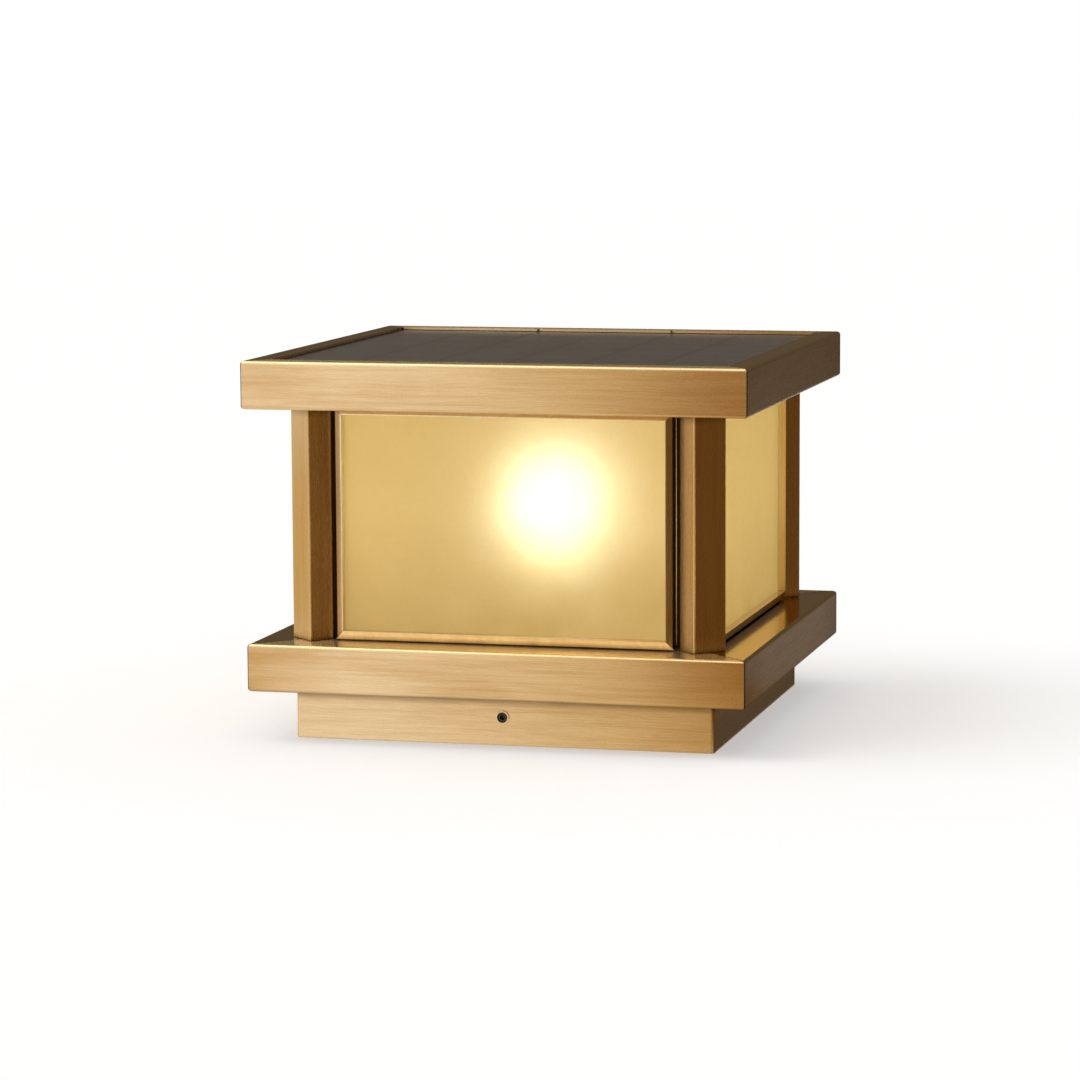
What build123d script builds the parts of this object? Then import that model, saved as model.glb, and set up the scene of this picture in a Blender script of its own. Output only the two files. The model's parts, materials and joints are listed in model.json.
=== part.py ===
from build123d import *
import os
from math import pi, sqrt

os.makedirs("parts", exist_ok=True)

# Pillar light: a square brass lantern that is lowered over a bracket on top of a gate pillar.
# Millimetres, +Z up. The origin is on the pillar's top face, on the light's upright axis.
# The front is -Y and the right side is +X.

# Overall sizes. The setbacks run inwards from the cap's outer faces.
CAP_W = 300.0
CAP_H = 28.3
BASE_SETBACK = 1.4
BASE_H = 28.2
PLINTH_SETBACK = 24.0
CHAMBER_SETBACK = 58.0
PLINTH_H = 30.0
POST_H = 138.0

# Brass sheet of the rails and the plinth
SHEET = 1.5
BEND_R = 0.6
MITRE_GAP = 0.9
LIP_H = 10.0
RIM_W = 14.0
BASE_UNDER = 40.0
PLINTH_FLANGE = 15.0

# Drain notches in the rear rim
NOTCH_W = 3.0
NOTCH_DEPTH = 3.0
NOTCH_PITCH = 88.0

# Corner posts: rectangular tubes turned 45 degrees, with a tie rod through each
POST_WIDE = 22.0
POST_DEEP = 16.0
POST_WALL = 1.5
POST_EDGE_R = 1.3
POST_BORE_R = 0.4
POST_CHAMFER = 0.5
POST_GAP = 1.2
ROD_D = 5.0
ROD_END = 2.0
ROD_CLEAR = 0.3
THREAD_CLEAR = 0.05
NUT_AF = 8.0
NUT_H = 4.0
WASHER_D = 12.0
WASHER_T = 1.0
GUSSET_W = 44.0
GUSSET_T = 2.0

# Window frames: mitred bevelled bars with a rebate for the pane
FRAME_SETBACK = 25.0
SIGHT_MARGIN = 28.0
SIGHT_INSET = 6.0
SIGHT_TOP = 4.3
BEAD_LAND = 0.5
BEVEL = 3.4
SILL_BEVEL = 4.5
BEVEL_DEPTH = 1.8
FRAME_DEPTH = 14.0
FLANGE_T = 1.5
FRAME_TOP_CLEAR = 0.2
FRAME_MITRE_GAP = 0.2
PANE_RECESS = 5.0
PANE_T = 4.0
PANE_LAP = 2.0
PANE_CLEAR = 0.3
SEAL_T = 2.5
TAB_W = 26.0
TAB_L = 10.0
TAB_PITCH = 110.0
ANGLE_LEG = 11.0
ANGLE_T = 1.2

# Rivets of the window frames, the plinth and the lamp stand
RIVET_D = 4.0
RIVET_HEAD_D = 7.0
RIVET_HEAD_H = 1.6
RIVET_CLEAR = 0.1
RIVET_SINK = 1.2
PLINTH_RIVET_PITCH = 150.0

# Solar panel, with its gasket and the tray that presses it up against the rim
PANEL_LAP = 6.5
PANEL_T = 4.2
GASKET_T = 0.4
GASKET_W = 5.0
TRAY_SETBACK = 22.0
TRAY_T = 1.2
TRAY_CORNER = 10.0

# Soffit of the cap, with the battery and the charge controller on it
SOFFIT_LAP = 13.0
SOFFIT_T = 1.2
SOFFIT_SCREW_IN = 7.0
SCREW_D = 4.0
SCREW_HEAD_D = 7.5
SCREW_HEAD_H = 2.2
SCREW_NUT_AF = 7.0
SCREW_NUT_H = 3.2
CELL_D = 18.3
CELL_L = 67.0
CELLS = 4
BATTERY_X = -34.0
STRAP_W = 20.0
STRAP_T = 0.6
STRAP_FOOT = 9.0
STRAP_CLEAR = 0.2
BOX_L = 58.0
BOX_W = 40.0
BOX_H = 13.0
BOX_EDGE_R = 2.0
BOX_X = 52.0

# Clamp screws: socket set screws in bushes through the plinth, front and back
CLAMP_Z = 16.5
CLAMP_D = 6.0
CLAMP_L = 13.5
CLAMP_PITCH = 1.0
CLAMP_SUNK = 0.6
CLAMP_SOCKET_AF = 3.0
CLAMP_SOCKET_DEPTH = 3.0
CLAMP_CLEAR = 0.08
CLAMP_EDGE = 0.5
BUSH_D = 8.0
BUSH_PROUD = 0.8
BUSH_SHOULDER_D = 11.0
BUSH_SHOULDER_L = 7.5
TIP_D = 4.0
TIP_T = 1.0
TIP_STEM_D = 2.4
TIP_STEM_L = 2.0
TIP_GAP = 0.2

# Bracket on the pillar and the lamp stand
BRACKET_W = 60.0
BRACKET_T = 2.5
BRACKET_BEND_R = 2.0
EAR_ABOVE = 9.5
SLOT_W = 6.5
SLOT_L = 20.0
SLOT_PITCH = 150.0
STAND_W = 34.0
STAND_L = 52.0
STAND_H = 26.5
STAND_T = 2.0
STAND_FOOT = 14.0

# Lamp holder for a 27 mm screw lamp
HOLDER_D = 44.0
HOLDER_RIM_D = 39.0
HOLDER_H = 45.0
HOLDER_FOOT_H = 9.0
HOLDER_STEM_D = 10.0
HOLDER_STEM_L = 9.0
HOLDER_NUT_AF = 15.0
HOLDER_NUT_H = 3.0
HOLDER_FLOOR = 16.0
SLEEVE_D = 27.2
SLEEVE_T = 0.8
SLEEVE_CLEAR = 0.1
SLEEVE_DROP = 2.0
SPRING_D = 8.0
SPRING_T = 0.8
SPRING_H = 5.7
CONTACT_GAP = 0.3

# Lamp: a pear-shaped frosted bulb on a screw cap, with a light board on a post inside
LAMP_SHELL_D = 26.2
LAMP_THREAD_DEPTH = 1.0
LAMP_PITCH = 25.4 / 7
LAMP_TURNS = 5
LAMP_SHELL_Z = 5.0
LAMP_COLLAR_Z = 26.0
LAMP_COLLAR_H = 15.0
LAMP_NECK_D = 29.0
LAMP_NECK_H = 4.0
LAMP_GLOBE_D = 55.0
LAMP_L = 107.0
LAMP_WALL = 1.2
LAMP_POST_D = 14.0
LED_BOARD_Z = 62.0
LED_BOARD_D = 25.0
LED_BOARD_T = 1.6
LED_SIZE = 2.4
LED_H = 0.8
LED_COUNT = 10
LED_RING_D = 19.0
CONTACT_D = 9.2
CONTACT_T = 1.6
CONTACT_STEM_D = 4.0
CONTACT_STEM_L = 2.6
CONTACT_CLEAR = 0.06

# Levels and half widths that follow from the sizes above
cap_out = CAP_W / 2
base_out = cap_out - BASE_SETBACK
plinth_out = cap_out - PLINTH_SETBACK
plinth_in = plinth_out - SHEET
rim_in = cap_out - RIM_W
chamber = cap_out - CHAMBER_SETBACK
z_base = PLINTH_H
z_deck = z_base + BASE_H
z_cap = z_deck + POST_H
z_top = z_cap + CAP_H
frame_face = cap_out - FRAME_SETBACK
frame_back = frame_face - FRAME_DEPTH
sight_w = frame_face - SIGHT_MARGIN
sight_h = (POST_H - SIGHT_INSET - SIGHT_TOP) / 2
sight_z = z_deck + SIGHT_INSET + sight_h
post_at = frame_back + (POST_GAP + POST_DEEP / 2) / sqrt(2)

# Local axes of a front-side section: first axis outwards (-Y), second axis up
FRONT = Plane(origin=(0, 0, 0), x_dir=(0, -1, 0), z_dir=(-1, 0, 0))
SIDES = ("front", "right", "back", "left")
CORNERS = ("front_right", "back_right", "back_left", "front_left")


def write(name, shape):
    """Save one piece, or one group of like pieces, under its own name."""
    export_step(shape, f"parts/{name}.step")


def around(shape):
    """The four copies of a front piece, each a quarter turn on about the upright axis."""
    return [Rot(0, 0, 90 * k) * shape for k in range(4)]


def ring_of(shape):
    """The four quarter-turn copies as one group."""
    return Compound(around(shape))


def rod(d, z0, z1, x=0.0, y=0.0):
    """An upright round bar from one level to another."""
    return Pos(x, y, (z0 + z1) / 2) * Cylinder(d / 2, z1 - z0)


def hexagon(across_flats, height):
    """A hexagonal prism standing on the ground plane."""
    return extrude(RegularPolygon(across_flats / 2, 6, major_radius=False), amount=height)


def square_ring(outer, inner, height):
    """A square frame of plain section, given its two half widths."""
    return extrude(Rectangle(2 * outer, 2 * outer) - Rectangle(2 * inner, 2 * inner), amount=height)


def bent_strip(path, thickness, inside_r):
    """Section of a bent strip: the path is one face and the metal lies to its right.

    The other face is the path moved by the thickness. Each corner is rounded on both faces,
    with the inside radius on the hollow side of the bend.
    """
    points = [Vector(*p) for p in path]
    steps = [(b - a).normalized() for a, b in zip(points, points[1:])]
    sides = [Vector(s.Y, -s.X) * thickness for s in steps]
    offset = [points[0] + sides[0]]
    turns = []
    for i in range(1, len(points) - 1):
        offset.append(points[i] + sides[i - 1] + sides[i])
        turns.append(steps[i - 1].X * steps[i].Y - steps[i - 1].Y * steps[i].X)
    offset.append(points[-1] + sides[-1])
    face = make_face(Polyline(*points, *reversed(offset), close=True))
    tight, wide = [], []
    for i, turn in enumerate(turns, start=1):
        hollow, crown = (points[i], offset[i]) if turn > 0 else (offset[i], points[i])
        tight.append(hollow)
        wide.append(crown)
    for corners, radius in ((tight, inside_r), (wide, inside_r + thickness)):
        for corner in corners:
            vertex = face.vertices().sort_by_distance(corner)[0]
            face = fillet(vertex, radius)
    return face


def rivet(x, y, z0, z1):
    """A domed rivet that clamps a stack of sheets between two levels."""
    head = RIVET_HEAD_H
    profile = Polyline((0, z0 - head), (RIVET_HEAD_D / 3, z0 - head), (RIVET_HEAD_D / 2, z0),
                       (RIVET_D / 2, z0), (RIVET_D / 2, z1), (RIVET_HEAD_D / 2, z1),
                       (RIVET_HEAD_D / 3, z1 + head), (0, z1 + head), close=True)
    return Pos(x, y, 0) * revolve(Plane.XZ * make_face(profile), Axis.Z)


def rivet_hole(x, y, z0, z1):
    """The clearance hole of a rivet."""
    return rod(RIVET_D + 2 * RIVET_CLEAR, z0, z1, x, y)


def sunk_rivet(y, z1, clear):
    """A rivet flush with the pillar's face, or with a clearance added, the hole that takes it."""
    shank = RIVET_D / 2 + clear
    sink = shank + RIVET_SINK
    profile = Polyline((0, 0), (sink, 0), (shank, RIVET_SINK), (shank, z1), (0, z1), close=True)
    return Pos(0, y, 0) * revolve(Plane.XZ * make_face(profile), Axis.Z)


# Rails of the cap and the base: bent channels, mitred at the corners
def mitred(section):
    """A front rail: the section run along X and cut at 45 degrees at both corners."""
    bar = extrude(FRONT * section, amount=CAP_W, both=True)
    apex = MITRE_GAP / sqrt(2)
    wedge = make_face(Polyline((0, -apex), (CAP_W, -CAP_W - apex), (-CAP_W, -CAP_W - apex), close=True))
    return bar & extrude(wedge, amount=z_top + CAP_W)


rod_holes = Compound([rod(ROD_D + 2 * ROD_CLEAR, z_base - CAP_H, z_top + CAP_H, x, -post_at)
                      for x in (-post_at, post_at)])
tab_at = frame_back - TAB_L / 2
plinth_rivet_at = plinth_out - (PLINTH_FLANGE + SHEET) / 2
tab_holes = [rivet_hole(x, -tab_at, z_deck - BASE_H / 2, z_deck + BASE_H) for x in (-TAB_PITCH / 2, TAB_PITCH / 2)]
skirt_holes = [rivet_hole(x, -plinth_rivet_at, 0, z_base + BASE_H / 2)
               for x in (-PLINTH_RIVET_PITCH / 2, PLINTH_RIVET_PITCH / 2)]

base_path = [(chamber, z_deck - LIP_H), (chamber, z_deck), (base_out, z_deck), (base_out, z_base),
             (base_out - BASE_UNDER, z_base)]
base_rail = mitred(bent_strip(base_path, SHEET, BEND_R)) - rod_holes - tab_holes - skirt_holes
for side, rail in zip(SIDES, around(base_rail)):
    write(f"base_rail_{side}", rail)

cap_path = [(rim_in, z_top), (cap_out, z_top), (cap_out, z_cap), (chamber, z_cap), (chamber, z_cap + LIP_H)]
soffit_screw_at = chamber + SOFFIT_SCREW_IN
soffit_hole = rod(SCREW_D + 2 * ROD_CLEAR, z_cap - CAP_H, z_cap + CAP_H / 2, 0, -soffit_screw_at)
cap_rail = mitred(bent_strip(cap_path, SHEET, BEND_R)) - rod_holes - soffit_hole
cap_rails = around(cap_rail)
for x in (-NOTCH_PITCH / 2, NOTCH_PITCH / 2):
    notch = Pos(x, rim_in, z_top) * Box(NOTCH_W, 2 * NOTCH_DEPTH, 2 * (SHEET + GASKET_T / 2))
    cap_rails[2] = cap_rails[2] - notch
for side, rail in zip(SIDES, cap_rails):
    write(f"cap_rail_{side}", rail)

# Plinth: one folded skirt with an inward flange that is riveted under the base
bend_out = BEND_R + SHEET
plinth = extrude(RectangleRounded(2 * plinth_out, 2 * plinth_out, bend_out)
                 - RectangleRounded(2 * plinth_in, 2 * plinth_in, BEND_R), amount=PLINTH_H)
plinth += Pos(0, 0, PLINTH_H - SHEET) * square_ring(plinth_in, plinth_out - PLINTH_FLANGE, SHEET)
for hole in skirt_holes:
    for copy in around(hole):
        plinth -= copy
plinth -= Pos(0, 0, CLAMP_Z) * Rot(90, 0, 0) * Cylinder(BUSH_D / 2, 2 * CAP_W)
write("plinth", plinth)
write("plinth_rivets", Compound([r for x in (-PLINTH_RIVET_PITCH / 2, PLINTH_RIVET_PITCH / 2)
                                 for r in around(rivet(x, -plinth_rivet_at, z_base - SHEET, z_base + SHEET))]))

# Corner posts, with the tie rods that clamp the cap, the posts and the base together
tube = extrude(RectangleRounded(POST_WIDE, POST_DEEP, POST_EDGE_R)
               - RectangleRounded(POST_WIDE - 2 * POST_WALL, POST_DEEP - 2 * POST_WALL, POST_BORE_R), amount=POST_H)
tube = chamfer(tube.faces().sort_by(Axis.Z)[0].outer_wire().edges(), POST_CHAMFER)
tube = chamfer(tube.faces().sort_by(Axis.Z)[-1].outer_wire().edges(), POST_CHAMFER)
for corner, post in zip(CORNERS, around(Pos(post_at, -post_at, z_deck) * Rot(0, 0, 45) * tube)):
    write(f"post_{corner}", post)

z_low = z_deck - SHEET - GUSSET_T
z_high = z_cap + SHEET + GUSSET_T
hole_d = ROD_D + 2 * ROD_CLEAR
gusset = extrude(Rectangle(GUSSET_W, GUSSET_W) - Circle(hole_d / 2), amount=GUSSET_T)
washer = extrude(Circle(WASHER_D / 2) - Circle(hole_d / 2), amount=WASHER_T)
nut = hexagon(NUT_AF, NUT_H) - Cylinder(ROD_D / 2 + THREAD_CLEAR, 4 * NUT_H)
write("base_gussets", ring_of(Pos(post_at, -post_at, z_low) * gusset))
write("cap_gussets", ring_of(Pos(post_at, -post_at, z_high - GUSSET_T) * gusset))
z_rod0 = z_low - WASHER_T - NUT_H - ROD_END
z_rod1 = z_high + WASHER_T + NUT_H + ROD_END
write("tie_rods", ring_of(rod(ROD_D, z_rod0, z_rod1, post_at, -post_at)))
washer_levels = (z_low - WASHER_T, z_high)
nut_levels = (z_low - WASHER_T - NUT_H, z_high + WASHER_T)
write("tie_washers", Compound([w for z in washer_levels for w in around(Pos(post_at, -post_at, z) * washer)]))
write("tie_nuts", Compound([n for z in nut_levels for n in around(Pos(post_at, -post_at, z) * nut)]))


# Window frames: four mitred bars round each pane
def bead_bar(half_len, dist, bevel, reach, turn):
    """One bar of a window frame, about the window's centre: the bottom bar, turned about Y.

    The section runs outwards from the sight edge and backwards from the front edge: a narrow land,
    a shallow bevel, the side wall, the rear flange, and the rebate that takes the pane's edge.
    """
    outer = BEAD_LAND + bevel
    rebate = PANE_LAP + PANE_CLEAR
    section = make_face(Polyline(
        (0, 0), (BEAD_LAND, 0), (outer, BEVEL_DEPTH), (outer, FRAME_DEPTH - FLANGE_T), (reach, FRAME_DEPTH - FLANGE_T),
        (reach, FRAME_DEPTH), (rebate, FRAME_DEPTH), (rebate, PANE_RECESS), (0, PANE_RECESS), close=True))
    plane = Plane(origin=(0, 0, -dist), x_dir=(0, 0, -1), z_dir=(1, 0, 0))
    bar = extrude(plane * section, amount=half_len + 2 * SIGHT_INSET, both=True)
    over = 2 * SIGHT_INSET
    gap = FRAME_MITRE_GAP / sqrt(2)
    wide, narrow = half_len + over - gap, half_len - over - gap
    wedge = make_face(Polyline((wide, -dist - over), (-wide, -dist - over), (-narrow, over - dist),
                               (narrow, over - dist), close=True))
    bar = bar & extrude(Plane.XZ * wedge, amount=4 * FRAME_DEPTH, both=True)
    return Rot(0, turn, 0) * bar


def window_frame():
    """The front frame: the bottom bar carries two tabs that are riveted down to the base."""
    reach = SIGHT_TOP - FRAME_TOP_CLEAR
    bottom = bead_bar(sight_w, sight_h, SILL_BEVEL, SIGHT_INSET, 0)
    for x in (-TAB_PITCH / 2, TAB_PITCH / 2):
        tab = extrude(Rectangle(TAB_W, TAB_L + FLANGE_T), amount=FLANGE_T)
        bottom += Pos(x, FRAME_DEPTH + (TAB_L - FLANGE_T) / 2, -sight_h - SIGHT_INSET) * tab
    lengths = ((sight_h, sight_w, 90), (sight_w, sight_h, 180), (sight_h, sight_w, 270))
    bars = [bottom] + [bead_bar(half_len, dist, BEVEL, reach, turn) for half_len, dist, turn in lengths]
    seat = Pos(0, -frame_face, sight_z)
    bars = [seat * bar for bar in bars]
    for hole in tab_holes:
        bars[0] = bars[0] - hole
    return bars


frame_bars = window_frame()
pane_w = sight_w + PANE_LAP
pane_h = sight_h + PANE_LAP
pane = Pos(0, PANE_RECESS + PANE_T / 2 - frame_face, sight_z) * Box(2 * pane_w, PANE_T, 2 * pane_h)
seal_face = Rectangle(2 * pane_w, 2 * pane_h) - Rectangle(2 * sight_w, 2 * sight_h)
seal = Pos(0, PANE_RECESS + PANE_T - frame_face, sight_z) * extrude(Plane.XZ * seal_face, amount=-SEAL_T)
for k, side in enumerate(SIDES):
    turn = Rot(0, 0, 90 * k)
    write(f"window_frame_{side}", Compound([turn * bar for bar in frame_bars]))
    write(f"window_pane_{side}", turn * pane)
    write(f"pane_seal_{side}", turn * seal)
write("frame_rivets", Compound([r for x in (-TAB_PITCH / 2, TAB_PITCH / 2)
                                for r in around(rivet(x, -tab_at, z_deck - SHEET, z_deck + FLANGE_T))]))

# Corner angles behind the posts close the chamber between two frames
angle_path = [(frame_back, ANGLE_LEG - frame_back), (frame_back, -frame_back), (frame_back - ANGLE_LEG, -frame_back)]
angle = extrude(bent_strip(angle_path, ANGLE_T, BEND_R), amount=POST_H - FRAME_TOP_CLEAR)
write("corner_angles", ring_of(Pos(0, 0, z_deck) * angle))

# Solar panel under the rim, its gasket, and the folded tray that stands on the cap's lower flange
z_panel = z_top - SHEET - GASKET_T
panel_out = rim_in + PANEL_LAP
z_tray = z_panel - PANEL_T
tray_out = cap_out - TRAY_SETBACK
z_floor = z_cap + SHEET
write("solar_panel", Pos(0, 0, z_tray) * extrude(Rectangle(2 * panel_out, 2 * panel_out), amount=PANEL_T))
write("panel_gasket", Pos(0, 0, z_panel) * square_ring(panel_out, panel_out - GASKET_W, GASKET_T))
leg_w = 2 * (post_at - GUSSET_W / 2 - TRAY_CORNER)
hat = bent_strip([(-tray_out, z_floor), (-tray_out, z_tray), (tray_out, z_tray), (tray_out, z_floor)], TRAY_T, BEND_R)
strip = extrude(FRONT * hat, amount=leg_w / 2, both=True)
inner_w = tray_out - BEND_R - TRAY_T
deck = Pos(0, 0, z_tray - TRAY_T) * extrude(Rectangle(2 * inner_w, 2 * inner_w), amount=TRAY_T)
write("panel_tray", deck + strip + Rot(0, 0, 90) * strip)

# Soffit that closes the cap from below, with four screws
soffit_out = chamber + SOFFIT_LAP
z_soffit = z_cap - SOFFIT_T
soffit = Pos(0, 0, z_soffit) * extrude(Rectangle(2 * soffit_out, 2 * soffit_out), amount=SOFFIT_T)
for hole in around(soffit_hole):
    soffit -= hole
write("soffit", soffit)
screw_profile = Polyline((0, z_soffit - SCREW_HEAD_H), (SCREW_HEAD_D / 4, z_soffit - SCREW_HEAD_H),
                         (SCREW_HEAD_D / 2, z_soffit), (SCREW_D / 2, z_soffit),
                         (SCREW_D / 2, z_floor + SCREW_NUT_H + ROD_END / 2),
                         (0, z_floor + SCREW_NUT_H + ROD_END / 2), close=True)
soffit_screw = Pos(0, -soffit_screw_at, 0) * revolve(Plane.XZ * make_face(screw_profile), Axis.Z)
soffit_nut = hexagon(SCREW_NUT_AF, SCREW_NUT_H) - Cylinder(SCREW_D / 2 + THREAD_CLEAR, 4 * SCREW_NUT_H)
write("soffit_screws", ring_of(soffit_screw))
write("soffit_nuts", ring_of(Pos(0, -soffit_screw_at, z_floor) * soffit_nut))

# Battery: cells side by side in one wrap, under a strap, beside the charge controller
pack_w = CELLS * CELL_D
pack = extrude(Plane.XZ * SlotOverall(pack_w, CELL_D), amount=CELL_L / 2, both=True)
write("battery_pack", Pos(BATTERY_X, 0, z_cap + CELL_D / 2) * pack)
strap_half = pack_w / 2 + STRAP_CLEAR + STRAP_T
strap_top = CELL_D + STRAP_CLEAR + STRAP_T
strap_path = [(-strap_half - STRAP_FOOT, STRAP_T), (-strap_half, STRAP_T), (-strap_half, strap_top),
              (strap_half, strap_top), (strap_half, STRAP_T), (strap_half + STRAP_FOOT, STRAP_T)]
strap = extrude(Plane.XZ * bent_strip(strap_path, STRAP_T, BEND_R), amount=STRAP_W / 2, both=True)
write("battery_strap", Pos(BATTERY_X, 0, z_cap) * strap)
box = extrude(RectangleRounded(BOX_L, BOX_W, BOX_EDGE_R), amount=BOX_H)
box = fillet(box.faces().sort_by(Axis.Z)[-1].edges(), BOX_EDGE_R / 2)
write("charge_controller", Pos(BOX_X, 0, z_cap) * Rot(0, 0, 90) * box)

# Clamp screws: a bush through the plinth wall, a set screw in it, and the soft tip on the screw's end
bush_face = plinth_out + BUSH_PROUD
bush_end = plinth_in - BUSH_SHOULDER_L
screw_out = bush_face - CLAMP_SUNK
screw_in = screw_out - CLAMP_L
tip_end = screw_in - TIP_T
bore_d = CLAMP_D + 2 * CLAMP_CLEAR
OUTWARD = Plane(origin=(0, 0, CLAMP_Z), x_dir=(1, 0, 0), z_dir=(0, -1, 0))


def outward(d, start, end):
    """A round bar along the clamp screw's axis, between two distances from the light's axis."""
    return OUTWARD * (Pos(0, 0, (start + end) / 2) * Cylinder(d / 2, end - start))


bush = outward(BUSH_D, bush_end, bush_face) + outward(BUSH_SHOULDER_D, bush_end, plinth_in)
bush -= outward(bore_d, bush_end - CLAMP_L, bush_face + CLAMP_L)
write("clamp_bushes", Compound([Rot(0, 0, 180 * k) * bush for k in range(2)]))
clamp = Cylinder(CLAMP_D / 2, CLAMP_L)
clamp = chamfer(clamp.edges().filter_by(GeomType.CIRCLE), CLAMP_EDGE)
socket = hexagon(CLAMP_SOCKET_AF, CLAMP_SOCKET_DEPTH)
clamp -= Pos(0, 0, CLAMP_L / 2 - CLAMP_SOCKET_DEPTH) * socket
stem_bore = TIP_STEM_D / 2 + CLAMP_CLEAR
clamp -= Pos(0, 0, -CLAMP_L / 2) * Cylinder(stem_bore, 2 * (TIP_STEM_L + CLAMP_CLEAR))
clamp = OUTWARD * (Pos(0, 0, screw_in + CLAMP_L / 2) * clamp)
tip = outward(TIP_D, tip_end, screw_in - CLAMP_CLEAR / 2) + outward(TIP_STEM_D, screw_in - TIP_T / 2, screw_in + TIP_STEM_L)
for k, side in enumerate(("front", "back")):
    turn = Rot(0, 0, 180 * k)
    write(f"clamp_screw_{side}", turn * clamp)
    write(f"clamp_tip_{side}", turn * tip)

# Bracket: a strip with two upturned ears that the clamp screws bear on, slotted for the pillar's bolts
ear_face = tip_end - TIP_GAP
ear_top = CLAMP_Z + EAR_ABOVE
bracket_path = [(ear_face, ear_top), (ear_face, 0), (-ear_face, 0), (-ear_face, ear_top)]
bracket = extrude(FRONT * bent_strip(bracket_path, BRACKET_T, BRACKET_BEND_R), amount=BRACKET_W / 2, both=True)
slot = extrude(Rot(0, 0, 90) * SlotOverall(SLOT_L, SLOT_W), amount=3 * BRACKET_T)
for y in (-SLOT_PITCH / 2, SLOT_PITCH / 2):
    bracket -= Pos(0, y, -BRACKET_T) * slot
stand_rivet_at = STAND_L / 2 + STAND_FOOT / 2
foot_holes = [sunk_rivet(y, STAND_H / 2, RIVET_CLEAR) for y in (-stand_rivet_at, stand_rivet_at)]
for hole in foot_holes:
    bracket -= hole
write("mounting_bracket", bracket)

# Lamp stand: a hat-shaped strip on the bracket that lifts the holder to the window's height
z_stand = BRACKET_T + STAND_H
z_foot = BRACKET_T + STAND_T
stand_path = [(-STAND_L / 2 - STAND_FOOT, z_foot), (-STAND_L / 2, z_foot), (-STAND_L / 2, z_stand),
              (STAND_L / 2, z_stand), (STAND_L / 2, z_foot), (STAND_L / 2 + STAND_FOOT, z_foot)]
stand = extrude(FRONT * bent_strip(stand_path, STAND_T, BEND_R), amount=STAND_W / 2, both=True)
for hole in foot_holes:
    stand -= hole
stand -= rod(HOLDER_STEM_D + 2 * ROD_CLEAR, z_stand - STAND_H / 2, z_stand + STAND_H)
write("lamp_stand", stand)
rivet_head = Cone(RIVET_HEAD_D / 2, RIVET_HEAD_D / 3, RIVET_HEAD_H, align=(Align.CENTER, Align.CENTER, Align.MIN))
write("stand_rivets", Compound([sunk_rivet(y, z_foot, 0) + Pos(0, y, z_foot) * rivet_head
                                for y in (-stand_rivet_at, stand_rivet_at)]))

# Lamp holder: a ceramic body with its stem and nut, the screw sleeve and the middle contact
z_rim = z_stand + HOLDER_H
z_well = z_stand + HOLDER_FLOOR
sleeve_out = SLEEVE_D / 2 + SLEEVE_T
well_r = sleeve_out + SLEEVE_CLEAR
holder_profile = Polyline(
    (0, z_stand - HOLDER_STEM_L), (HOLDER_STEM_D / 2, z_stand - HOLDER_STEM_L), (HOLDER_STEM_D / 2, z_stand),
    (HOLDER_D / 2, z_stand), (HOLDER_D / 2, z_stand + HOLDER_FOOT_H), (HOLDER_RIM_D / 2, z_stand + 2 * HOLDER_FOOT_H),
    (HOLDER_RIM_D / 2, z_rim), (well_r, z_rim), (well_r, z_well), (0, z_well), close=True)
write("lamp_holder", revolve(Plane.XZ * make_face(holder_profile), Axis.Z))
holder_nut = hexagon(HOLDER_NUT_AF, HOLDER_NUT_H) - Cylinder(HOLDER_STEM_D / 2 + THREAD_CLEAR, 4 * HOLDER_NUT_H)
write("holder_nut", Pos(0, 0, z_stand - STAND_T - HOLDER_NUT_H) * holder_nut)
sleeve = rod(2 * sleeve_out, z_well, z_rim - SLEEVE_DROP) - rod(SLEEVE_D, z_well + SLEEVE_T, z_rim)
sleeve -= rod(SPRING_D + 2 * SLEEVE_T, z_well - SLEEVE_T, z_rim)
write("holder_sleeve", sleeve)
spring_path = [(-SPRING_D / 2, SPRING_H), (SPRING_D / 2, SPRING_H), (SPRING_D / 2, 0), (-SPRING_D / 2, 0)]
leaf = bent_strip(spring_path, SPRING_T, SPRING_T / 4)
write("holder_contact", Pos(0, 0, z_well) * extrude(Plane.XZ * leaf, amount=SPRING_D / 4, both=True))

# Lamp: foot contact, insulator, screw shell, core with its collar and post, light board and globe
z_lamp = z_well + SPRING_H + CONTACT_GAP
z_shell = z_lamp + LAMP_SHELL_Z
z_collar = z_lamp + LAMP_COLLAR_Z
z_neck = z_collar + LAMP_COLLAR_H
z_board = z_lamp + LED_BOARD_Z
stem_r = CONTACT_STEM_D / 2
write("lamp_contact", rod(CONTACT_D, z_lamp, z_lamp + CONTACT_T)
      + rod(CONTACT_STEM_D, z_lamp + CONTACT_T / 2, z_lamp + CONTACT_T + CONTACT_STEM_L))
crest = LAMP_SHELL_D / 2
root = crest - LAMP_THREAD_DEPTH
z_disc = z_lamp + CONTACT_T + CONTACT_CLEAR
insulator_profile = Polyline(
    (stem_r + CONTACT_CLEAR, z_disc), (CONTACT_D / 2, z_disc), (root - LAMP_WALL, z_shell),
    (root - LAMP_WALL, z_shell + CONTACT_STEM_L), (0, z_shell + CONTACT_STEM_L),
    (0, z_disc + CONTACT_STEM_L + CONTACT_CLEAR), (stem_r + CONTACT_CLEAR, z_disc + CONTACT_STEM_L + CONTACT_CLEAR),
    close=True)
write("lamp_insulator", revolve(Plane.XZ * make_face(insulator_profile), Axis.Z))
wave = [(root, z_shell)]
for i in range(LAMP_TURNS):
    wave += [(root, z_shell + LAMP_PITCH * (i + 0.1)), (crest, z_shell + LAMP_PITCH * (i + 0.5)),
             (root, z_shell + LAMP_PITCH * (i + 0.9))]
shell_profile = Polyline((root - LAMP_WALL, z_shell), *wave, (root, z_collar), (root - LAMP_WALL, z_collar), close=True)
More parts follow.
